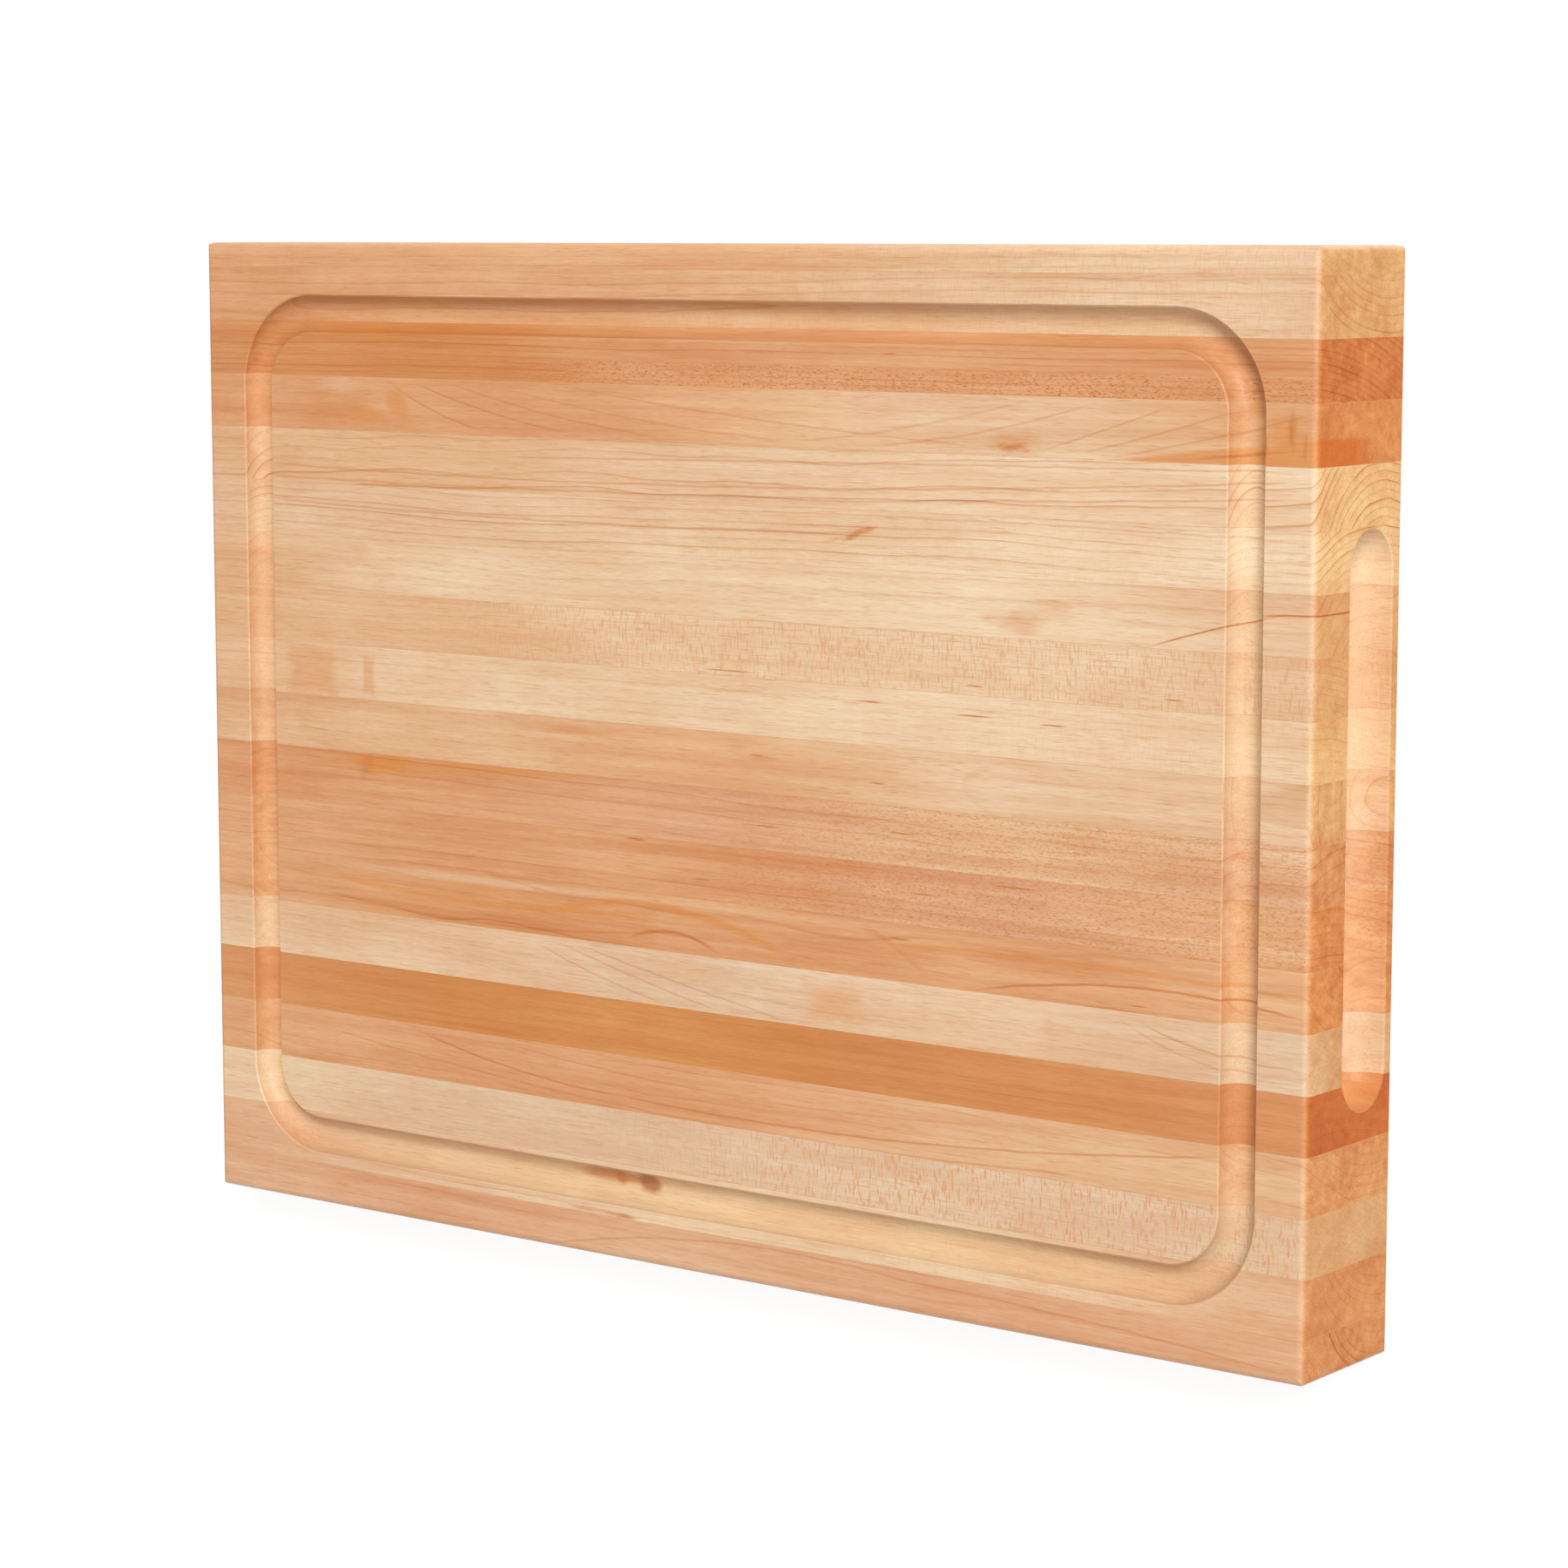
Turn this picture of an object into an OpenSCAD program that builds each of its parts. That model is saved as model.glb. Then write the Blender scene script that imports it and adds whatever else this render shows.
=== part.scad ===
// Edge-grain cutting board: staves of hard maple glued side by side, with a juice groove in the
// cutting face and a finger grip in each end.
//
// Frame: the board lies flat with its cutting face up. +X runs along the staves, +Y runs across
// them from the near edge to the far edge, and +Z points up out of the cutting face. The origin
// is the centre of the underside.

/* [Board] */
// Length of the board, along the staves
board_l = 508; // [400:1:760]
// Width of the board, across the staves
board_w = 381; // [340:1:440]
// Thickness of the board
board_t = 57.15; // [54:0.05:76]
// Radius that every outer edge is eased to
edge_r = 3; // [1.5:0.5:5]
// Width that is sanded off the corners of the groove and of the grips
arris = 0.5; // [0.3:0.1:0.5]

/* [Staves] */
// Width of the first stave, trimmed along the far edge
far_stave_w = 9.4; // [8:0.1:18]
// Width of the last stave, trimmed along the near edge
near_stave_w = 16; // [8:0.1:18]
// Thickness of the film of glue in each joint
glue_t = 0.1; // [0.05:0.05:0.2]

/* [Juice groove] */
// Distance from the board's edges to the groove's outer edge
groove_inset = 20; // [16:0.5:30]
// Width of the groove at the cutting face
groove_w = 15; // [10:0.5:15]
// Depth of the groove below the cutting face
groove_d = 7.5; // [7.5:0.5:12]
// Radius of the groove's corners, on its centre line
groove_corner_r = 28; // [14:1:45]

/* [Finger grips] */
// Length of each grip, across the staves
grip_l = 199.2; // [120:0.1:240]
// Distance from the board's middle to the grips' middle, towards the far edge
grip_y = -2.4; // [-6:0.1:6]
// Height of each grip's mouth
grip_w = 29; // [22:1:30]
// Distance from the cutting face down to the grip's centre line
grip_drop = 36.5; // [34:0.5:37]
// Depth of each grip into the end of the board
grip_d = 16; // [15.5:0.5:20]

/* [Hidden] */
STAVE_COUNT = 19;
function stave_name(i) = str("stave_", i < 9 ? "0" : "", i + 1);

// Curves are true arcs; this is only how finely they are drawn.
$fn = 96;
// How far a cutting tool or a slab runs past the faces that it crosses
over = 5;

// The staves between the two trimmed ones are all equally wide.
stave_w = (board_w - far_stave_w - near_stave_w) / (STAVE_COUNT - 2);
// Radius of the rounded floor inside the sanded mouth, in the groove and in the grips
groove_r = groove_w / 2 - arris;
grip_r = grip_w / 2 - arris;
grip_z = board_t - grip_drop;
// Half the size of the rectangle that the groove's centre line follows
groove_half_l = board_l / 2 - groove_inset - groove_w / 2;
groove_half_w = board_w / 2 - groove_inset - groove_w / 2;

// Colour of each stave, from the far edge to the near edge
CREAM = [0.93, 0.82, 0.66];
TAN = [0.91, 0.76, 0.57];
PEACH = [0.90, 0.69, 0.49];
AMBER = [0.84, 0.59, 0.38];
STAVE_TONES = [
    TAN, PEACH, AMBER, PEACH, CREAM, CREAM, CREAM, TAN, CREAM, PEACH,
    AMBER, PEACH, TAN, CREAM, AMBER, PEACH, CREAM, TAN, TAN
];

// Y of the middle of glue joint i, counted from the far edge
function joint_y(i) = board_w / 2 - far_stave_w - i * stave_w;

// Outline of a rectangle centred on the origin, with its corners rounded to edge_r
module eased_outline(l, w) {
    for (sx = [-1, 1], sy = [-1, 1])
        translate([sx * (l / 2 - edge_r), sy * (w / 2 - edge_r)]) circle(edge_r);
    square([l - 2 * edge_r, w], center = true);
    square([l, w - 2 * edge_r], center = true);
}

// The glued and planed blank with every outer edge eased: the shape that three extruded
// outlines, one along each axis, have in common
module eased_blank() {
    intersection() {
        linear_extrude(board_t) eased_outline(board_l, board_w);
        translate([0, 0, board_t / 2]) rotate([90, 0, 0])
            linear_extrude(board_w, center = true) eased_outline(board_l, board_t);
        translate([0, 0, board_t / 2]) rotate([90, 0, 90])
            linear_extrude(board_l, center = true) eased_outline(board_w, board_t);
    }
}

// Section of the sanded corner of a mouth that is 2 * r wide below it, with the face at zero
module mouth_section(r) {
    wide = r + arris + over;
    polygon([[-r, -arris], [r, -arris], [wide, over], [-wide, over]]);
}

// Section of the round-nosed groove, with the cutting face at zero height
module groove_section() {
    translate([0, groove_r - groove_d]) circle(groove_r);
    translate([-groove_r, groove_r - groove_d]) square([2 * groove_r, groove_d - groove_r]);
    mouth_section(groove_r);
}

// A straight run of the groove along X, centred on the origin
module groove_run(l) {
    rotate([90, 0, 90]) linear_extrude(l, center = true) groove_section();
}

// The whole groove: four runs joined by four quarter turns
module groove() {
    run_l = 2 * (groove_half_l - groove_corner_r);
    run_w = 2 * (groove_half_w - groove_corner_r);
    translate([0, 0, board_t]) {
        for (sy = [-1, 1]) translate([0, sy * groove_half_w, 0]) groove_run(run_l);
        for (sx = [-1, 1]) translate([sx * groove_half_l, 0, 0]) rotate([0, 0, 90]) groove_run(run_w);
        for (turn = [0 : 3]) {
            sx = (turn == 0 || turn == 3) ? 1 : -1;
            sy = turn < 2 ? 1 : -1;
            translate([sx * run_l / 2, sy * run_w / 2, 0]) rotate([0, 0, 90 * turn])
                rotate_extrude(angle = 90) translate([groove_corner_r, 0]) groove_section();
        }
    }
}

// One finger grip in the +X end: a slot with round ends, straight walls and a round floor
module grip() {
    wall_d = grip_d - grip_r;
    half_l = (grip_l - grip_w) / 2;
    translate([board_l / 2, grip_y, grip_z]) {
        translate([-wall_d, 0, 0]) {
            rotate([90, 0, 90]) linear_extrude(wall_d) {
                square([2 * half_l, 2 * grip_r], center = true);
                for (sy = [-1, 1]) translate([sy * half_l, 0]) circle(grip_r);
            }
            rotate([90, 0, 0]) cylinder(h = 2 * half_l, r = grip_r, center = true);
            for (sy = [-1, 1]) translate([0, sy * half_l, 0]) sphere(grip_r);
        }
        // The sanded corner of the mouth, along its two sides and round its two ends
        rotate([0, 90, 0]) rotate([90, 0, 0])
            linear_extrude(2 * half_l, center = true) mouth_section(grip_r);
        for (sy = [-1, 1]) translate([-arris, sy * half_l, 0]) rotate([0, 90, 0])
            cylinder(h = arris + over, r1 = grip_r, r2 = grip_r + arris + over);
    }
}

// The part of the finished board that lies between two values of y
module slice(y_low, y_high) {
    difference() {
        intersection() {
            eased_blank();
            translate([-board_l / 2 - over, y_low, -over])
                cube([board_l + 2 * over, y_high - y_low, board_t + 2 * over]);
        }
        groove();
        grip();
        mirror([1, 0, 0]) grip();
    }
}

// Stave i, counted from the far edge: full length, full thickness, one joint on each side
module stave(i) {
    y_high = i == 0 ? board_w / 2 + over : joint_y(i - 1) - glue_t / 2;
    y_low = i == STAVE_COUNT - 1 ? -board_w / 2 - over : joint_y(i) + glue_t / 2;
    color(STAVE_TONES[i]) slice(y_low, y_high);
}

// The films of hardened glue, one in every joint
module glue_lines() {
    color([0.62, 0.44, 0.27])
        for (i = [0 : STAVE_COUNT - 2]) slice(joint_y(i) - glue_t / 2, joint_y(i) + glue_t / 2);
}

for (i = [0 : STAVE_COUNT - 1])
    stave(i);
glue_lines();
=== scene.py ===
"""Maple cutting board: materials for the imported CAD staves, a studio floor, lights and a camera."""
import math

import bpy
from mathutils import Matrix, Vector


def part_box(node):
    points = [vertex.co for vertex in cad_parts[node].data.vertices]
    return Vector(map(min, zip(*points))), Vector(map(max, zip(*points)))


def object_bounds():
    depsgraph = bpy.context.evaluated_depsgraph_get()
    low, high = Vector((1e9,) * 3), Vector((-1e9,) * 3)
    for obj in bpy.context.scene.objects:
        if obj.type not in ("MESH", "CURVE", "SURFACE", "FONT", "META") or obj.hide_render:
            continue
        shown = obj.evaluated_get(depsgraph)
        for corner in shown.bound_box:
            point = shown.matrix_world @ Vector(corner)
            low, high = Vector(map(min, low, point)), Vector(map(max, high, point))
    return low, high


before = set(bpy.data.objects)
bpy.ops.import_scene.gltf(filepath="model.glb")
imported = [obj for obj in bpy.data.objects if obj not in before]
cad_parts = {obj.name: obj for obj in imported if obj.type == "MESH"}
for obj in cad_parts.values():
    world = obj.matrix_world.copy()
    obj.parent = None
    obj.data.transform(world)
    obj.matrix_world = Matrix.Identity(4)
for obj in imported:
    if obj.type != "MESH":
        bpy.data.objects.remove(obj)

CAD_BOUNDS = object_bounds()
MM = 0.001

LOW, HIGH = (Vector(corner) for corner in CAD_BOUNDS)
LENGTH = HIGH.x - LOW.x
CENTRE = (LOW + HIGH) / 2


# ---------------------------------------------------------------------------------------------
# Colours
# ---------------------------------------------------------------------------------------------

def srgb(red, green, blue):
    """A screen colour, 0 to 255 a channel, as the linear RGBA that a shader takes."""
    def linear(channel):
        c = channel / 255
        return c / 12.92 if c <= 0.04045 else ((c + 0.055) / 1.055) ** 2.4
    return (linear(red), linear(green), linear(blue), 1.0)


IVORY = srgb(238, 207, 172)
CREAM = srgb(234, 200, 162)
PALE = srgb(226, 191, 157)
STRAW = srgb(229, 190, 152)
TAN = srgb(227, 180, 138)
PEACH = srgb(225, 171, 125)
APRICOT = srgb(221, 160, 113)
AMBER = srgb(215, 148, 97)
TOFFEE = srgb(211, 139, 84)
CARAMEL = srgb(211, 139, 78)
HONEY = srgb(219, 143, 74)
BLUSH = srgb(221, 166, 127)
ROSE = srgb(224, 174, 135)
RUST = srgb(201, 122, 62)
BARK = srgb(172, 104, 58)
GLUE = srgb(196, 140, 92)


# ---------------------------------------------------------------------------------------------
# A short way to write shader nodes
# ---------------------------------------------------------------------------------------------

class Shader:
    """One material's node tree. put fills a socket, and the rest add nodes and give an output."""

    def __init__(self, name):
        self.material = bpy.data.materials.new(name)
        self.material.use_nodes = True
        self.tree = self.material.node_tree
        self.surface = self.tree.nodes["Principled BSDF"]

    def put(self, socket, value):
        """Link a socket to another node's output, or set it to a fixed value."""
        if isinstance(value, bpy.types.NodeSocket):
            self.tree.links.new(value, socket)
        else:
            socket.default_value = value

    def math(self, operation, *values):
        """One sum on numbers, by Blender's name for it."""
        node = self.tree.nodes.new("ShaderNodeMath")
        node.operation = operation
        for socket, value in zip(node.inputs, values):
            self.put(socket, value)
        return node.outputs[0]

    def add(self, a, b):
        return self.math("ADD", a, b)

    def sub(self, a, b):
        return self.math("SUBTRACT", a, b)

    def mul(self, a, b):
        return self.math("MULTIPLY", a, b)

    def scaled(self, vector, scale):
        """A vector stretched by three factors."""
        node = self.tree.nodes.new("ShaderNodeVectorMath")
        node.operation = "MULTIPLY"
        self.put(node.inputs[0], vector)
        self.put(node.inputs[1], scale)
        return node.outputs[0]

    def moved(self, vector, offset):
        """A vector with another added to it."""
        node = self.tree.nodes.new("ShaderNodeVectorMath")
        node.operation = "ADD"
        self.put(node.inputs[0], vector)
        self.put(node.inputs[1], offset)
        return node.outputs[0]

    def split(self, vector):
        """A vector's x, y and z."""
        node = self.tree.nodes.new("ShaderNodeSeparateXYZ")
        self.put(node.inputs[0], vector)
        return node.outputs

    def join(self, x, y, z):
        """A vector, or a colour, of three numbers."""
        node = self.tree.nodes.new("ShaderNodeCombineXYZ")
        for socket, value in zip(node.inputs, (x, y, z)):
            self.put(socket, value)
        return node.outputs[0]

    def ramp(self, value, low, high, out_low=0.0, out_high=1.0):
        """A smooth step from out_low to out_high as value goes from low to high."""
        node = self.tree.nodes.new("ShaderNodeMapRange")
        node.interpolation_type = "SMOOTHSTEP"
        for socket, number in zip(node.inputs, (value, low, high, out_low, out_high)):
            self.put(socket, number)
        return node.outputs[0]

    def noise(self, vector, detail=2.0, roughness=0.5):
        """Soft noise between 0 and 1, with one wave in about one unit of the vector."""
        node = self.tree.nodes.new("ShaderNodeTexNoise")
        self.put(node.inputs["Vector"], vector)
        node.inputs["Scale"].default_value = 1.0
        node.inputs["Detail"].default_value = detail
        node.inputs["Roughness"].default_value = roughness
        return node.outputs["Fac"]

    def wobble(self, vector, scale, size, seed, detail=2.0):
        """A noise that is zero on average and reaches about size either way."""
        place = self.moved(self.scaled(vector, scale), (seed, seed * 1.7, seed * 0.6))
        return self.mul(self.sub(self.noise(place, detail=detail), 0.5), 2 * size)

    def mix(self, factor, a, b, blend="MIX"):
        """Colour a with colour b laid over it, as far as factor says."""
        node = self.tree.nodes.new("ShaderNodeMix")
        node.data_type = "RGBA"
        node.blend_type = blend
        self.put(node.inputs[0], factor)
        self.put(node.inputs[6], a)
        self.put(node.inputs[7], b)
        return node.outputs[2]

    def deepen(self, colour, power):
        """A colour raised to a power: dark tones deepen more than pale ones."""
        node = self.tree.nodes.new("ShaderNodeGamma")
        self.put(node.inputs["Color"], colour)
        self.put(node.inputs["Gamma"], power)
        return node.outputs["Color"]

    def blend(self, value, colours):
        """A colour that runs through the given colours as value goes from 0 to 1."""
        node = self.tree.nodes.new("ShaderNodeValToRGB")
        node.color_ramp.interpolation = "EASE"
        stops = node.color_ramp.elements
        while len(stops) < len(colours):
            stops.new(0.5)
        for i, colour in enumerate(colours):
            stops[i].position = i / (len(colours) - 1)
            stops[i].color = colour
        self.put(node.inputs[0], value)
        return node.outputs["Color"]


# ---------------------------------------------------------------------------------------------
# Maple
# ---------------------------------------------------------------------------------------------
# All lengths in the wood are in millimetres in the part's own frame: x along the staves, y across
# them and z up. A stave's growth rings are cylinders round its pith, and "pith" says how far that
# lies to the side of the stave's middle and above the cutting face. "slope" is how far the pith
# drifts, sideways and upwards, in a metre along the stave, and "wander" how far the rings wave.
#
# In the functions, s is the stave's Shader and p the place in the wood that is being coloured.
# Names that end in WAVES are frequencies of noise along x, y and z, in waves a millimetre. Wood
# changes slowly along the grain, so x has the smallest in most of them. Names that end in LEVELS
# are the noise at which something starts to show and the noise at which it shows in full.

FACE_Z = HIGH.z / MM
HALF_LENGTH = LENGTH / 2 / MM
HALF_WIDTH = HIGH.y / MM

# Most of what the noise gives lies between these two.
NOISE_LOW = 0.35
NOISE_HIGH = 0.65

# Tone. A shade changes green and blue this many times as much as red. DRIFT is how far the tones
# stray from their places along the stave, as a share of its length.
GREEN_RATE = 2.5
BLUE_RATE = 3.7
DRIFT_WAVES = (0.01, 0.06, 0.03)
DRIFT = 0.08
STREAK_WAVES = (0.007, 0.24, 0.24)
STREAK_DEPTH = 0.7
BAND_WAVES = (0.09, 0.03, 0.03)
BAND_DEPTH = 0.6
CLOUD_WAVES = (0.012, 0.05, 0.05)
CLOUD_DEPTH = 0.20

# Marks. A spot's outline has waves counted in half its length and half its width. A vein wavers,
# and it tapers off over VEIN_TAPER at each end, or over a share of its length if it is short.
MARK_DEPTH = 20.0
OUTLINE_WAVES_ALONG = 2.0
OUTLINE_WAVES_ACROSS = 1.2
OUTLINE_WAVES_DOWN = 0.05
VEIN_WAVES = (0.06, 0.0, 0.0)
VEIN_WAVER = 0.5
VEIN_CORE = 0.2
VEIN_TAPER = 15.0
VEIN_TAPER_SHARE = 0.4

# Growth rings. HEAVE and WRINKLE are shares of "wander". Each year's line has a soft part and a
# sharp one, placed by shares of the year, and it fades along the stave down to RING_FADE.
SWAY_WAVES = (0.005, 0.012, 0.012)
HEAVE_WAVES = (0.006, 0.015, 0.015)
HEAVE = 0.8
WRINKLE_WAVES = (0.022, 0.05, 0.05)
WRINKLE = 0.22
YEAR_SPREAD = 0.9
FAINTEST_YEAR = 0.1
SOFT_START = 0.45
SHARP_START = 0.84
LINE_PEAK = 0.95
SHARP_PEAK_END = 0.97
SOFT_SHARE = 0.25
FADE_WAVES = (0.012, 0.06, 0.06)
RING_FADE = 0.5
RING_TINT = (0.72, 0.46, 0.23, 1.0)

# Fibre, open pores, ray flecks and flakes. Flakes have the same waves across and down.
STRAND_WAVES = (0.05, 1.3, 1.3)
STRAND_DEPTH = 0.12
PORE_WAVES = (0.20, 3.2, 3.2)
PORE_DEPTH = 0.14
PIT_WAVES = (0.11, 3.0, 3.0)
PIT_LEVELS = (0.58, 0.74)
PIT_DEPTH = 0.4
RAY_WAVES = (1.5, 0.27, 0.27)
RAY_LEVELS = (0.50, 0.70)
FLAKE_WAVES_ALONG = 0.7
FLAKE_WAVES_ACROSS = 2.6
FLAKE_LEVELS = (0.50, 0.72)
FLAKE_ROW_EDGE = 1.0
FLAKE_SWAY_WAVES = (0.30, 0.4, 0.4)
FLAKE_SWAY = 0.5

# Surfaces. Each pair gives two distances from the board's outside: a surface's look is missing at
# the first and full at the second.
ROUTED_FROM_END = (0.6, 1.2)
ROUTED_FROM_SIDE = (1.0, 2.0)
ROUTED_FROM_FACE = (0.2, 0.8)
ROUTED_FROM_BASE = (2.0, 4.0)
# Painted shade for the inside of the groove and the grips: a factor that darkens the wood colour
# there a touch.
ROUTED_PAINTED_SHADE = (0.97, 0.98, 0.95, 1.0)
PLANED_FROM_END = (3.0, 0.5)
END_TINT = (0.94, 0.98, 0.90, 1.0)
END_DEPTH = 1.7
END_DOT_WAVES = (0.3, 2.2, 2.2)
END_DOT_DEPTH = 0.03
FACE_GLOSS = 0.35
END_GLOSS = 0.08
ROUGHNESS = 0.46
FIBRE_ROUGHNESS = 0.6
CLOUD_ROUGHNESS = 0.2
BUMP_STRENGTH = 0.35
BUMP_HEIGHT = 0.08
STRAND_RELIEF = 0.5
PORE_RELIEF = 0.7
FLAKE_RELIEF = 0.6
RING_RELIEF = 0.4

# How squarely a surface faces along the staves: 0 on the faces and sides and 1 on the ends. Rays
# and flakes fade out over the first pair, and the look of planed ends comes in over the second.
FLAT_FADE = (0.8, 0.3)
END_FADE = (0.4, 1.0)


def near_face(s, pz):
    """1 down to MARK_DEPTH below the cutting face and 0 from twice that: marks end there."""
    return s.ramp(pz, FACE_Z - 2 * MARK_DEPTH, FACE_Z - MARK_DEPTH)


def spot_mask(s, p, mark):
    """How much of a spot covers a point: 1 in its core and 0 outside it."""
    px, py, pz = s.split(p)
    du = s.math("DIVIDE", s.sub(px, mark["x"]), mark["half_l"])
    centre = s.add(s.mul(s.sub(px, mark["x"]), -mark["slant"]), mark["y"])
    dv = s.math("DIVIDE", s.sub(py, centre), mark["half_w"])
    if mark["square"]:
        distance = s.math("MAXIMUM", s.math("ABSOLUTE", du), s.math("ABSOLUTE", dv))
    else:
        distance = s.math("SQRT", s.add(s.mul(du, du), s.mul(dv, dv)))
    waves = (OUTLINE_WAVES_ALONG / mark["half_l"], OUTLINE_WAVES_ACROSS / mark["half_w"],
             OUTLINE_WAVES_DOWN)
    distance = s.add(distance, s.wobble(p, waves, mark["ragged"], mark["x"] + mark["y"]))
    return s.mul(s.ramp(distance, 1.0, mark["core"]), near_face(s, pz))


def vein_mask(s, p, mark):
    """How much of a thin line covers a point. The line is a parabola through three places."""
    px, py, pz = s.split(p)
    (xa, ya), (xb, yb), (xc, yc) = mark["through"]
    rise = (yb - ya) / (xb - xa)
    bend = ((yc - yb) / (xc - xb) - rise) / (xc - xa)
    from_a = s.sub(px, xa)
    height = s.add(ya, s.mul(from_a, s.add(rise, s.mul(bend, s.sub(px, xb)))))
    height = s.add(height, s.wobble(p, VEIN_WAVES, VEIN_WAVER, ya))
    distance = s.math("DIVIDE", s.math("ABSOLUTE", s.sub(py, height)), mark["half_w"])
    taper = min(VEIN_TAPER, VEIN_TAPER_SHARE * (xc - xa))
    ends = s.mul(s.ramp(px, xa, xa + taper), s.ramp(px, xc, xc - taper))
    return s.mul(s.mul(s.ramp(distance, 1.0, VEIN_CORE), ends), near_face(s, pz))


def ring_radius(s, p, y_mid, stave):
    """Distance from the pith, waved as the tree grew."""
    seed = stave["seed"]
    wander = stave["wander"]
    px, py, pz = s.split(p)
    sway = s.add(s.wobble(p, SWAY_WAVES, wander, seed),
                 s.wobble(p, WRINKLE_WAVES, WRINKLE * wander, seed + 3))
    heave = s.wobble(p, HEAVE_WAVES, HEAVE * wander, seed + 7)
    side = s.sub(py, s.add(y_mid + stave["pith"][0], s.mul(px, stave["slope"][0] / 1000)))
    rise = s.sub(pz, s.add(FACE_Z + stave["pith"][1], s.mul(px, stave["slope"][1] / 1000)))
    side = s.add(side, sway)
    rise = s.add(rise, heave)
    return s.math("SQRT", s.add(s.mul(side, side), s.mul(rise, rise)))


def ring_lines(s, p, radius, stave):
    """The dark latewood line that ends each year's ring: 0 between lines and up to 1 on one."""
    turns = s.math("DIVIDE", radius, stave["spacing"])
    uneven = s.sub(s.noise(s.join(turns, stave["seed"], 0.0)), 0.5)
    turns = s.add(turns, s.mul(uneven, YEAR_SPREAD))
    year = s.math("FLOOR", turns)
    part = s.math("FRACT", turns)
    soft = s.mul(s.ramp(part, SOFT_START, LINE_PEAK), s.ramp(part, 1.0, LINE_PEAK))
    sharp = s.mul(s.ramp(part, SHARP_START, LINE_PEAK), s.ramp(part, 1.0, SHARP_PEAK_END))
    line = s.add(s.mul(soft, SOFT_SHARE), s.mul(sharp, 1 - SOFT_SHARE))
    chance = s.noise(s.join(s.mul(year, 3.7), stave["seed"], 4.1))
    strength = s.ramp(chance, NOISE_LOW, NOISE_HIGH, FAINTEST_YEAR, 1.0)
    fade = s.ramp(s.noise(s.scaled(p, FADE_WAVES)), NOISE_LOW, NOISE_HIGH, RING_FADE, 1.0)
    return s.mul(s.mul(line, strength), fade)


def shaded(s, colour, shade):
    """A colour made darker and redder where shade is under 1, and paler where it is over 1."""
    green = s.add(s.mul(shade, GREEN_RATE), 1 - GREEN_RATE)
    blue = s.add(s.mul(shade, BLUE_RATE), 1 - BLUE_RATE)
    return s.mix(1.0, colour, s.join(shade, green, blue), "MULTIPLY")


def board_tone(s, p, cloud, stave):
    """The stave's tone, which drifts from end to end, with streaks, cross figure and clouds."""
    seed = stave["seed"]
    px = s.split(p)[0]
    place = s.math("DIVIDE", s.add(px, HALF_LENGTH), 2 * HALF_LENGTH)
    place = s.add(place, s.wobble(p, DRIFT_WAVES, DRIFT, seed + 11))
    colour = s.blend(place, stave["tones"])

    streak_place = s.moved(s.scaled(p, STREAK_WAVES), (seed, 2 * seed, 0.0))
    streak = s.noise(streak_place, detail=4.0, roughness=0.6)
    bands = s.noise(s.moved(s.scaled(p, BAND_WAVES), (seed, seed, 0.0)))
    shade = s.add(1.0, s.mul(s.sub(streak, 0.5), STREAK_DEPTH * stave["streak"]))
    shade = s.add(shade, s.mul(s.sub(bands, 0.5), BAND_DEPTH * stave["figure"]))
    shade = s.add(shade, s.mul(s.sub(cloud, 0.5), CLOUD_DEPTH))
    return shaded(s, colour, shade)


def with_marks(s, p, colour, stave):
    """The colour with the patches, dashes and lines that belong to this stave alone."""
    for mark in stave["spots"]:
        colour = s.mix(s.mul(spot_mask(s, p, mark), mark["amount"]), colour, mark["tint"])
    for mark in stave["veins"]:
        colour = s.mix(s.mul(vein_mask(s, p, mark), mark["amount"]), colour, mark["tint"])
    return colour


def zone(s, px, spec):
    """A strength that holds everywhere, or one that comes in between two places along x.

    The two places are millimetres from the left end.
    """
    if not isinstance(spec, tuple):
        return spec
    low, high, level = spec
    return s.mul(s.ramp(px, low - HALF_LENGTH, high - HALF_LENGTH), level)


def ray_flecks(s, p, flat, stave):
    """Short dashes across the grain, where the rays lie flat on the surface."""
    px = s.split(p)[0]
    speck = s.noise(s.moved(s.scaled(p, RAY_WAVES), (stave["seed"], 0.0, 0.0)), detail=1.0)
    return s.mul(s.mul(s.ramp(speck, *RAY_LEVELS), zone(s, px, stave["rays"])), flat)


def flakes(s, p, flat, stave):
    """Fine wavy dashes along the grain on figured staves, between two rows across the board."""
    px, py, pz = s.split(p)
    sway = s.wobble(p, FLAKE_SWAY_WAVES, FLAKE_SWAY, stave["seed"] + 5)
    place = s.join(s.mul(px, FLAKE_WAVES_ALONG), s.mul(s.add(py, sway), FLAKE_WAVES_ACROSS),
                   s.mul(pz, FLAKE_WAVES_ACROSS))
    flake = s.ramp(s.noise(place, detail=1.0), *FLAKE_LEVELS)
    low, high = stave["flake_rows"]
    rows = s.mul(s.ramp(py, low - FLAKE_ROW_EDGE, low + FLAKE_ROW_EDGE),
                 s.ramp(py, high + FLAKE_ROW_EDGE, high - FLAKE_ROW_EDGE))
    return s.mul(s.mul(s.mul(flake, flat), zone(s, px, stave["flakes"])), rows)


def within(s, value, edge, band):
    """A smooth step between two distances inside an edge: 0 at the first and 1 at the second."""
    none, full = band
    return s.ramp(value, edge - none, edge - full)


def routed_shade_mask(s, p):
    """1 on the surfaces that the cutter left inside the groove and the grips, where the painted shade
    goes.
    """
    px, py, pz = s.split(p)
    inside = s.mul(within(s, s.math("ABSOLUTE", px), HALF_LENGTH, ROUTED_FROM_END),
                   within(s, s.math("ABSOLUTE", py), HALF_WIDTH, ROUTED_FROM_SIDE))
    below = s.mul(within(s, pz, FACE_Z, ROUTED_FROM_FACE), s.ramp(pz, *ROUTED_FROM_BASE))
    return s.mul(inside, below)


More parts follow.
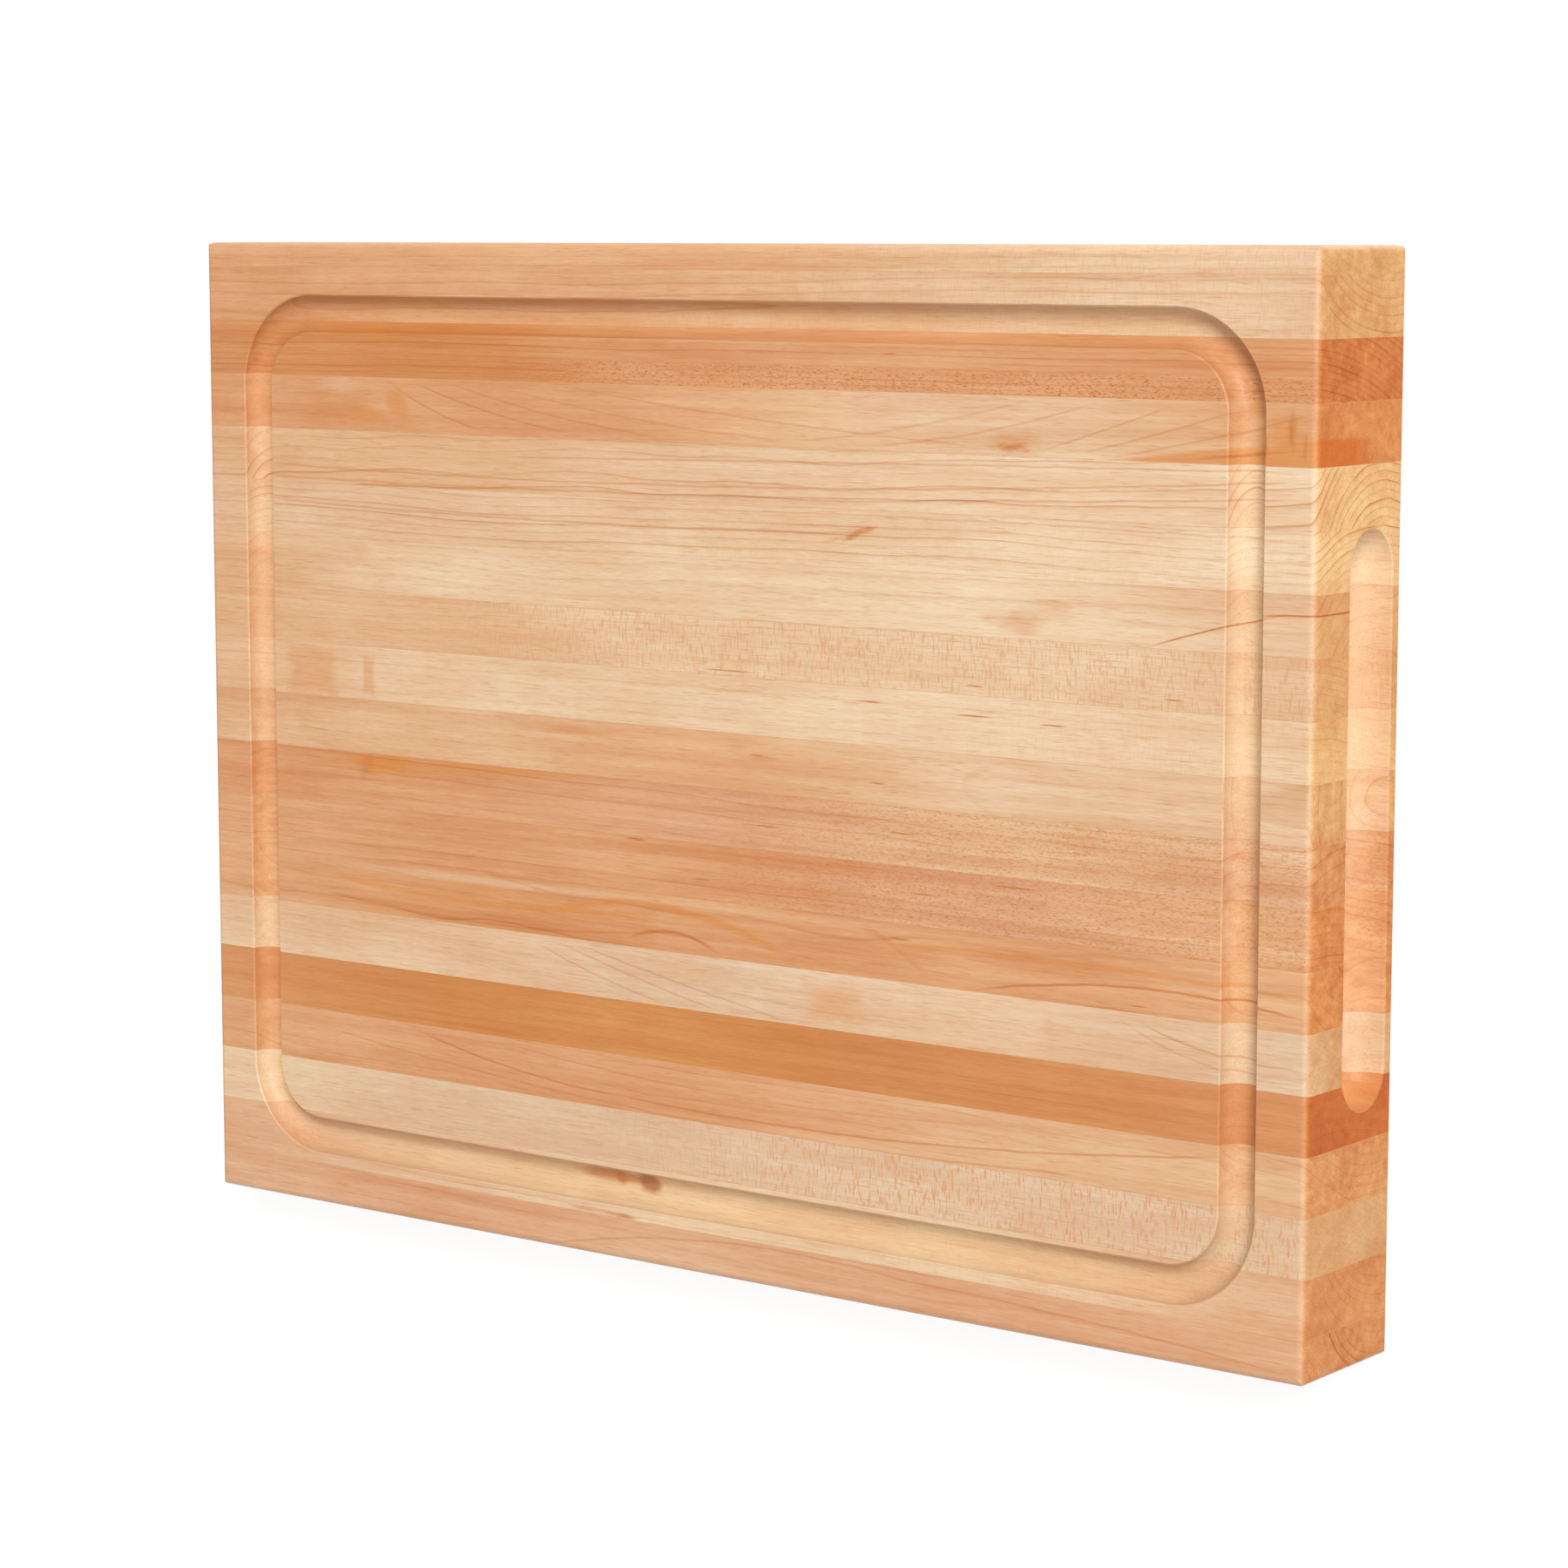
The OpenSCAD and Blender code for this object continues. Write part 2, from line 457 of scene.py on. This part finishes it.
def planed_end_mask(s, p, end_on):
    """1 on the two flat ends. end_on is 1 where the surface faces along the staves."""
    px = s.split(p)[0]
    reach = within(s, s.math("ABSOLUTE", px), HALF_LENGTH, PLANED_FROM_END)
    return s.mul(reach, s.ramp(end_on, *END_FADE))


def maple(name, y_mid, stave):
    """Hard maple for one stave: tone, growth rings, fibre, figure, flecks, marks and end grain."""
    s = Shader(name)
    seed = stave["seed"]
    coords = s.tree.nodes.new("ShaderNodeTexCoord").outputs["Object"]
    normal = s.tree.nodes.new("ShaderNodeNewGeometry").outputs["Normal"]
    end_on = s.math("ABSOLUTE", s.split(normal)[0])
    flat = s.ramp(end_on, *FLAT_FADE)
    p = s.scaled(coords, (1 / MM, 1 / MM, 1 / MM))

    cloud = s.noise(s.moved(s.scaled(p, CLOUD_WAVES), (0.0, 0.0, seed)), detail=3.0)
    colour = with_marks(s, p, board_tone(s, p, cloud, stave), stave)

    line = ring_lines(s, p, ring_radius(s, p, y_mid, stave), stave)
    colour = s.mix(s.mul(line, stave["ring"]), colour, RING_TINT, "MULTIPLY")

    # Fibre: fine streaks along the grain, in two sizes.
    strands = s.noise(s.moved(s.scaled(p, STRAND_WAVES), (seed, 0.0, 0.0)), detail=3.0)
    pores = s.noise(s.moved(s.scaled(p, PORE_WAVES), (0.0, seed, 0.0)))
    fibre = s.add(s.mul(s.sub(strands, 0.5), STRAND_DEPTH), s.mul(s.sub(pores, 0.5), PORE_DEPTH))
    colour = shaded(s, colour, s.add(1.0, fibre))

    # Sparse short dashes along the grain, where pores are cut open.
    pit = s.noise(s.moved(s.scaled(p, PIT_WAVES), (seed, 5.0, 0.0)), detail=1.0)
    colour = s.mix(s.ramp(pit, *PIT_LEVELS, 0.0, PIT_DEPTH), colour, RUST)

    # Rays and flakes.
    colour = s.mix(ray_flecks(s, p, flat, stave), colour, APRICOT)
    flake = flakes(s, p, flat, stave)
    colour = s.mix(flake, colour, RUST)

    # Painted shade: inside the groove and the grips the colour is made a touch darker, as shade in
    # the hollows.
    colour = s.mix(routed_shade_mask(s, p), colour, s.mix(1.0, colour, ROUTED_PAINTED_SHADE, "MULTIPLY"))

    # End grain takes up the most oil, so the planed ends are deeper in tone and less glossy.
    planed = planed_end_mask(s, p, end_on)
    dots = s.ramp(s.noise(s.scaled(p, END_DOT_WAVES)), NOISE_LOW, NOISE_HIGH,
                  1 - END_DOT_DEPTH, 1 + END_DOT_DEPTH)
    deep = s.mix(1.0, s.deepen(colour, END_DEPTH), END_TINT, "MULTIPLY")
    colour = s.mix(planed, colour, s.mix(1.0, deep, s.join(dots, dots, dots), "MULTIPLY"))
    s.put(s.surface.inputs["Base Color"], colour)

    uneven = s.add(s.mul(fibre, -FIBRE_ROUGHNESS), s.mul(s.sub(cloud, 0.5), CLOUD_ROUGHNESS))
    s.put(s.surface.inputs["Roughness"], s.add(ROUGHNESS, uneven))
    gloss = s.ramp(planed, 0.0, 1.0, FACE_GLOSS, END_GLOSS)
    s.put(s.surface.inputs["Specular IOR Level"], gloss)

    bump = s.tree.nodes.new("ShaderNodeBump")
    bump.inputs["Strength"].default_value = BUMP_STRENGTH
    bump.inputs["Distance"].default_value = BUMP_HEIGHT * MM
    raised = s.add(s.mul(strands, STRAND_RELIEF), s.mul(pores, PORE_RELIEF))
    relief = s.sub(raised, s.mul(flake, FLAKE_RELIEF))
    s.put(bump.inputs["Height"], s.sub(relief, s.mul(line, RING_RELIEF)))
    s.put(s.surface.inputs["Normal"], bump.outputs["Normal"])
    return s.material


# What each stave is like. Places on the cutting face are given in millimetres from its left end
# and from its far edge, and sizes of marks in millimetres too.

def on_face(x, y):
    """A place on the cutting face, in the part's own frame."""
    return (x - HALF_LENGTH, HALF_WIDTH - y)


def spot(x, y, half_l, half_w, tint, amount, slant=0.0, ragged=0.5, core=0.0, square=False):
    """A soft patch, or a short dash if it is narrow. slant is its fall towards the right.

    ragged is how uneven its outline is, and core is the share of its radius at full strength.
    square makes it a rectangle, where other spots are ellipses.
    """
    x, y = on_face(x, y)
    return {"x": x, "y": y, "half_l": half_l, "half_w": half_w, "tint": tint, "amount": amount,
            "slant": slant, "ragged": ragged, "core": core, "square": square}


def dash(x, y, half_l=8.0, half_w=0.45):
    """A short dark streak of mineral along the grain."""
    return spot(x, y, half_l, half_w, RUST, 0.9, core=0.2)


def vein(a, b, c, tint=RUST, amount=0.5, half_w=0.6):
    """A thin dark line through three places."""
    return {"through": [on_face(*a), on_face(*b), on_face(*c)], "tint": tint, "amount": amount,
            "half_w": half_w}


def wood(tones, pith, seed, spacing=3.0, slope=(0.0, 0.0), wander=3.0, ring=0.8, streak=0.30,
         figure=0.06, rays=0.0, flakes=0.0, flake_rows=(0.0, 2 * HALF_WIDTH), spots=(), veins=()):
    """What one stave is like.

    tones run from its left end to its right end. pith, slope and wander place the growth rings,
    and spacing is the width of one. ring, streak, figure, rays and flakes are strengths, and the
    last two may be a zone's. flake_rows are distances from the far edge that flakes show between.
    """
    near_row, far_row = HALF_WIDTH - flake_rows[1], HALF_WIDTH - flake_rows[0]
    return {"tones": tones, "pith": pith, "seed": seed, "spacing": spacing, "slope": slope,
            "wander": wander, "ring": ring, "streak": streak, "figure": figure, "rays": rays,
            "flakes": flakes, "flake_rows": (near_row, far_row), "spots": spots, "veins": veins}


STAVES = {
    "stave_01": wood((PEACH, PEACH, PEACH, CREAM, STRAW), (60, -40), ring=0.5,
                     rays=(200, 300, 0.3), seed=1.0),
    "stave_02": wood((APRICOT, PEACH, TAN, STRAW, STRAW), (50, -45), slope=(12, 0), ring=0.7,
                     figure=0.12, rays=(120, 200, 0.25), seed=2.0),
    "stave_03": wood((AMBER, TOFFEE, APRICOT, APRICOT, APRICOT), (-120, 10), spacing=2.2,
                     streak=0.45, flakes=(110, 220, 1.0), flake_rows=(43, 60), seed=3.0, spots=[
                         spot(90, 34, 90, 4.0, HONEY, 0.7),
                         dash(335, 38, 4)]),
    "stave_04": wood((APRICOT, APRICOT, PEACH, STRAW, PEACH), (-60, -80), slope=(-30, 0),
                     wander=6.0, ring=0.0, streak=0.4, seed=4.0, spots=[
                         spot(66, 64, 34, 9, TOFFEE, 0.8),
                         spot(74, 54, 16, 5, TAN, 0.6),
                         spot(85, 66, 16, 6.0, HONEY, 0.8),
                         spot(102, 62, 10, 9, HONEY, 0.7, slant=0.5),
                         spot(388, 67, 15, 5, AMBER, 0.6),
                         spot(386, 69, 11, 2.2, RUST, 0.8, ragged=0.9),
                         spot(482, 71.5, 58, 6.5, HONEY, 0.7, -0.115, 0.15, 0.7, True),
                         spot(498, 62, 13, 10, HONEY, 0.65),
                         spot(478, 69, 32, 1.0, RUST, 0.8, slant=-0.10),
                         spot(498, 60, 2.2, 9, RUST, 0.8),
                         spot(488, 65, 1.6, 6, RUST, 0.7),
                         spot(503, 66, 1.4, 6, RUST, 0.6)], veins=[
                         vein((96, 52), (112, 60), (150, 71)),
                         vein((108, 52), (135, 60), (190, 70)),
                         vein((125, 52), (165, 61), (230, 70), amount=0.35),
                         vein((150, 53), (205, 62), (290, 70), amount=0.3),
                         vein((180, 52), (250, 60), (370, 69), amount=0.3),
                         vein((290, 70), (340, 64), (396, 52), amount=0.25),
                         vein((320, 71), (380, 63), (425, 52), amount=0.3),
                         vein((396, 71), (425, 62), (455, 52), amount=0.35),
                         vein((412, 71), (445, 63), (484, 52), amount=0.35),
                         vein((430, 71), (465, 64), (512, 53), amount=0.35)]),
    "stave_05": wood((TAN, TAN, STRAW, IVORY, IVORY), (-40, -48), spacing=2.9, slope=(14, 0),
                     wander=7.0, ring=1.0, streak=0.2, seed=5.0, veins=[
                         vein((30, 86), (190, 88), (500, 77), amount=0.4),
                         vein((30, 91), (230, 91), (500, 83), amount=0.4),
                         vein((150, 80), (300, 77), (500, 74), amount=0.4)]),
    "stave_06": wood((STRAW, STRAW, CREAM, IVORY, IVORY), (-70, -40), spacing=2.8, wander=4.0,
                     ring=0.9, streak=0.2, rays=(150, 250, 0.1), seed=6.0, spots=[
                         spot(320, 102, 8, 1.8, RUST, 0.8, slant=-0.45, ragged=0.8),
                         spot(326, 100, 5, 1.5, RUST, 0.7, slant=-0.3, ragged=0.8),
                         spot(311, 104, 6, 1.0, RUST, 0.4, slant=-0.2),
                         spot(322, 101, 10, 4, APRICOT, 0.5)], veins=[
                         vein((35, 100), (170, 103), (330, 101), amount=0.4),
                         vein((200, 97), (350, 95), (505, 97), amount=0.3)]),
    "stave_07": wood((TAN, CREAM, CREAM, IVORY, STRAW), (-90, -90), spacing=4.5, wander=6.0,
                     ring=0.35, streak=0.15, seed=7.0, spots=[
                         spot(14, 122.5, 26, 2.4, APRICOT, 0.6),
                         spot(34, 126.5, 3, 1.6, RUST, 0.8),
                         spot(80, 118, 11, 5, TAN, 0.8),
                         spot(390, 129, 18, 7, TAN, 0.8),
                         spot(405, 124, 10, 5, TAN, 0.6)], veins=[
                         vein((440, 135.5), (470, 127), (496, 121), RUST, 0.9, 0.5),
                         vein((482, 122.4), (497, 121.0), (518, 121.6), RUST, 0.9, 0.5)]),
    "stave_08": wood((TAN, TAN, CREAM, CREAM, STRAW), (-150, 20), spacing=2.4, ring=0.4,
                     streak=0.2, rays=(80, 190, 0.6), seed=8.0, spots=[
                         spot(20, 138, 45, 2.5, APRICOT, 0.6), spot(150, 148, 80, 6, PEACH, 0.5),
                         dash(265, 154, 14), dash(372, 152.5, 5), dash(454, 152, 6)]),
    "stave_09": wood((TAN, CREAM, CREAM, IVORY, CREAM), (-110, 5), spacing=3.6, ring=0.45,
                     streak=0.15, rays=(300, 420, 0.15), seed=9.0, spots=[
                         spot(55, 167, 15, 11, PEACH, 0.95, ragged=0.25, core=0.6, square=True),
                         spot(85, 167, 4, 10, PEACH, 0.8, ragged=0.25, core=0.4, square=True),
                         dash(327, 161), dash(371, 163, 12), dash(405, 164, 9)]),
    "stave_10": wood((TAN, TAN, PEACH, STRAW, STRAW), (2, -70), spacing=3.6, slope=(0, 22),
                     wander=6.0, ring=0.5, streak=0.4, seed=10.0, spots=[
                         spot(185, 181, 34, 3.0, AMBER, 0.8), spot(278, 185, 9, 1.6, AMBER, 0.6),
                         spot(320, 186, 30, 4.0, PEACH, 0.7),
                         dash(276, 184, 5), dash(330, 190, 5)]),
    "stave_11": wood((APRICOT, APRICOT, BLUSH, TAN, ROSE), (-60, -30), spacing=2.6,
                     slope=(-16, 0), wander=4.0, streak=0.5, flakes=(200, 360, 0.6), seed=11.0,
                     spots=[
                         spot(100, 200, 130, 6.5, AMBER, 0.9),
                         spot(92, 201, 34, 6.0, HONEY, 1.0, ragged=0.8, core=0.2),
                         spot(150, 199, 60, 3.0, HONEY, 0.8),
                         spot(83, 203, 6, 8, RUST, 0.4, slant=-0.5),
                         dash(280, 209.7, 12), dash(341, 207, 7)]),
    "stave_12": wood((PEACH, APRICOT, APRICOT, BLUSH, PEACH), (-130, 0), spacing=2.6,
                     streak=0.5, flakes=(190, 340, 0.7), seed=12.0, spots=[
                         dash(219, 219.7, 7, 0.9),
                         dash(389, 222, 13), dash(351, 228, 9), dash(250, 232, 6)]),
    "stave_13": wood((PEACH, AMBER, APRICOT, APRICOT, PEACH), (20, -34), spacing=5.0,
                     slope=(0, 10), wander=12.0, ring=0.6, streak=0.5, seed=13.0, spots=[
                         spot(165, 242.5, 190, 3.0, STRAW, 0.75, ragged=0.4),
                         spot(345, 250, 30, 4, AMBER, 0.6),
                         spot(425, 250, 50, 3, AMBER, 0.4),
                         dash(340, 245, 7), dash(441, 258, 5)], veins=[
                         vein((212, 259), (236, 253), (262, 261), RUST, 0.9, 1.0),
                         vein((170, 253), (232, 244), (292, 258), HONEY, 0.7, 2.4),
                         vein((60, 254), (180, 258), (236, 253), RUST, 0.5, 0.8),
                         vein((320, 240), (338, 248), (356, 259), AMBER, 0.8, 1.8),
                         vein((335, 247), (390, 246), (508, 249), HONEY, 0.5, 1.2),
                         vein((60, 247), (150, 251), (236, 246), HONEY, 0.5, 1.6),
                         vein((371, 260), (400, 255), (508, 256), RUST, 0.8, 0.7)]),
    "stave_14": wood((STRAW, STRAW, PALE, STRAW, PALE), (-50, -60), spacing=3.4,
                     slope=(-22, 0), wander=5.0, ring=0.2, streak=0.25, figure=0.10, seed=14.0,
                     spots=[
                         spot(311, 272, 20, 11, PEACH, 0.85, ragged=0.4, core=0.2, square=True),
                         spot(404, 270, 5, 8, TAN, 0.7),
                         spot(245, 266, 25, 7, TAN, 0.7, slant=0.15)], veins=[
                         vein((165, 262), (200, 273), (236, 281), amount=0.35),
                         vein((180, 262), (215, 271), (262, 281), amount=0.35),
                         vein((190, 262), (230, 270), (292, 281), amount=0.35),
                         vein((438, 262), (456, 268), (508, 272), amount=0.45),
                         vein((430, 262), (452, 271), (500, 278), amount=0.3)]),
    "stave_15": wood((AMBER, CARAMEL, CARAMEL, TOFFEE, AMBER), (-140, -10), spacing=4.0, ring=0.4,
                     streak=0.3, seed=15.0, spots=[
                         spot(120, 300, 80, 1.3, RUST, 0.6), spot(205, 291, 9, 6, APRICOT, 0.35),
                         dash(398, 292.7, 11)]),
    "stave_16": wood((PEACH, APRICOT, APRICOT, TAN, TAN), (70, -50), spacing=3.6, slope=(-20, 0),
                     wander=7.0, ring=0.4, streak=0.4, seed=16.0, veins=[
                         vein((106, 304), (145, 312), (215, 318), amount=0.7),
                         vein((205, 317.5), (320, 319), (474, 306), amount=0.6),
                         vein((60, 309), (200, 321), (420, 320), amount=0.4),
                         vein((150, 304), (250, 311), (385, 307), amount=0.3)]),
    "stave_17": wood((CREAM, PALE, PALE, PALE, PALE), (-170, 30), spacing=2.2, ring=0.25,
                     streak=0.15, rays=(150, 340, 0.9), seed=17.0),
    "stave_18": wood((ROSE, STRAW, CREAM, CREAM, ROSE), (40, -55), spacing=3.2, slope=(-8, 8),
                     ring=0.5, rays=(240, 320, 0.15), seed=18.0, spots=[
                         spot(203, 350.5, 26, 3.6, RUST, 0.7, ragged=0.4, core=0.3),
                         spot(206, 351.0, 4, 4.0, RUST, 0.7, ragged=0.3, core=0.3),
                         spot(220, 351.5, 7, 5.5, BARK, 0.8, ragged=0.3, core=0.4),
                         spot(199, 364.0, 22, 1.5, RUST, 0.6),
                         spot(213, 364, 8, 1.8, RUST, 0.7)]),
    "stave_19": wood((ROSE, BLUSH, ROSE, BLUSH, ROSE), (30, -58), spacing=3.6,
                     slope=(10, 12), wander=6.0, ring=0.7, streak=0.4, seed=19.0, spots=[
                         spot(68, 372, 6, 1.8, AMBER, 0.7)], veins=[
                         vein((170, 381), (250, 368), (350, 370), amount=0.4),
                         vein((340, 369), (430, 372), (508, 378), amount=0.4)]),
}


def dress_staves():
    """Give each stave its own maple, with its rings placed by the stave's middle."""
    for name, spec in STAVES.items():
        low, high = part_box(name)
        material = maple("wood_" + name, (low.y + high.y) / 2 / MM, spec)
        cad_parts[name].data.materials[0] = material


# Clouds in the glue: how many a metre along x, y and z, and the roughness they vary between
GLUE_CLOUDS = (60.0, 400.0, 400.0)
GLUE_ROUGHNESS = (0.35, 0.5)


def dress_glue():
    """Hardened glue, a little darker and glossier than the wood beside it."""
    s = Shader("hardened_glue")
    coords = s.tree.nodes.new("ShaderNodeTexCoord").outputs["Object"]
    cloud = s.noise(s.scaled(coords, GLUE_CLOUDS))
    s.put(s.surface.inputs["Base Color"], s.mix(cloud, GLUE, AMBER))
    s.put(s.surface.inputs["Roughness"], s.ramp(cloud, 0.3, 0.7, *GLUE_ROUGHNESS))
    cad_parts["glue_lines"].data.materials[0] = s.material


# ---------------------------------------------------------------------------------------------
# Studio: floor, lights and camera
# ---------------------------------------------------------------------------------------------

FLOOR_SIZE = 12.0
FLOOR_GREY = 0.16
FLOOR_ROUGHNESS = 0.9
FLOOR_GLOW = 0.88
WORLD_LIGHT = 0.43

# The photo's view of the grooved face, as near as a plain camera comes to it
CAMERA_AIM = Vector((0.0345, -0.003, HIGH.z))
CAMERA_AZIMUTH = math.radians(12.2)      # from +X towards +Y
CAMERA_ELEVATION = math.radians(52.0)
CAMERA_DISTANCE = 1.531
CAMERA_LENS = 97.3                       # millimetres
CAMERA_SENSOR = 36.0


def direction(azimuth, elevation):
    """Unit vector at an azimuth from +X towards +Y, and at an elevation above the floor."""
    return Vector((math.cos(elevation) * math.cos(azimuth),
                   math.cos(elevation) * math.sin(azimuth), math.sin(elevation)))


def aim(thing, place, target, up):
    """Put a camera or a light at place, looking at target, with up upright in its view."""
    back = (place - target).normalized()
    right = up.cross(back).normalized()
    over = back.cross(right)
    thing.matrix_world = Matrix((right, over, back)).transposed().to_4x4()
    thing.location = place


def make_floor():
    """A wide grey floor that glows, so that it looks white and takes only a faint shadow."""
    half = FLOOR_SIZE / 2
    mesh = bpy.data.meshes.new("floor")
    corners = [(-half, -half, 0), (half, -half, 0), (half, half, 0), (-half, half, 0)]
    mesh.from_pydata(corners, [], [(0, 1, 2, 3)])
    floor = bpy.data.objects.new("floor", mesh)
    bpy.context.scene.collection.objects.link(floor)
    s = Shader("pale_floor")
    s.surface.inputs["Base Color"].default_value = (FLOOR_GREY, FLOOR_GREY, FLOOR_GREY, 1.0)
    s.surface.inputs["Roughness"].default_value = FLOOR_ROUGHNESS
    s.surface.inputs["Emission Color"].default_value = (1.0, 1.0, 1.0, 1.0)
    s.surface.inputs["Emission Strength"].default_value = FLOOR_GLOW
    mesh.materials.append(s.material)


def make_area_light(name, azimuth, elevation, distance, size, power, tint=(1.0, 1.0, 1.0)):
    """A round light that shines on the board's middle. Angles are in degrees."""
    data = bpy.data.lights.new(name, "AREA")
    data.shape = "DISK"
    data.size = size
    data.energy = power
    data.color = tint
    light = bpy.data.objects.new(name, data)
    bpy.context.scene.collection.objects.link(light)
    place = CENTRE + direction(math.radians(azimuth), math.radians(elevation)) * distance
    aim(light, place, CENTRE, Vector((0.0, 0.0, 1.0)))


def make_lights():
    """White light from all round, a warm key from far right and a weak fill from the near side."""
    world = bpy.data.worlds.new("studio")
    world.use_nodes = True
    background = world.node_tree.nodes["Background"]
    background.inputs["Color"].default_value = (1.0, 1.0, 1.0, 1.0)
    background.inputs["Strength"].default_value = WORLD_LIGHT
    bpy.context.scene.world = world
    make_area_light("key", azimuth=34.0, elevation=45.0, distance=10.0, size=3.75, power=806.0,
                    tint=(1.0, 0.98, 0.95))
    make_area_light("fill", azimuth=-60.0, elevation=55.0, distance=2.6, size=2.0, power=3.0)


def make_camera():
    """The photo's view: the board stands upright in it, and its far edge is at the top."""
    data = bpy.data.cameras.new("camera")
    data.lens = CAMERA_LENS
    data.sensor_width = CAMERA_SENSOR
    camera = bpy.data.objects.new("camera", data)
    bpy.context.scene.collection.objects.link(camera)
    place = CAMERA_AIM + direction(CAMERA_AZIMUTH, CAMERA_ELEVATION) * CAMERA_DISTANCE
    aim(camera, place, CAMERA_AIM, Vector((0.0, 1.0, 0.0)))
    bpy.context.scene.camera = camera


make_camera()
dress_staves()
dress_glue()
make_floor()
make_lights()
bpy.context.scene.view_settings.view_transform = "Standard"
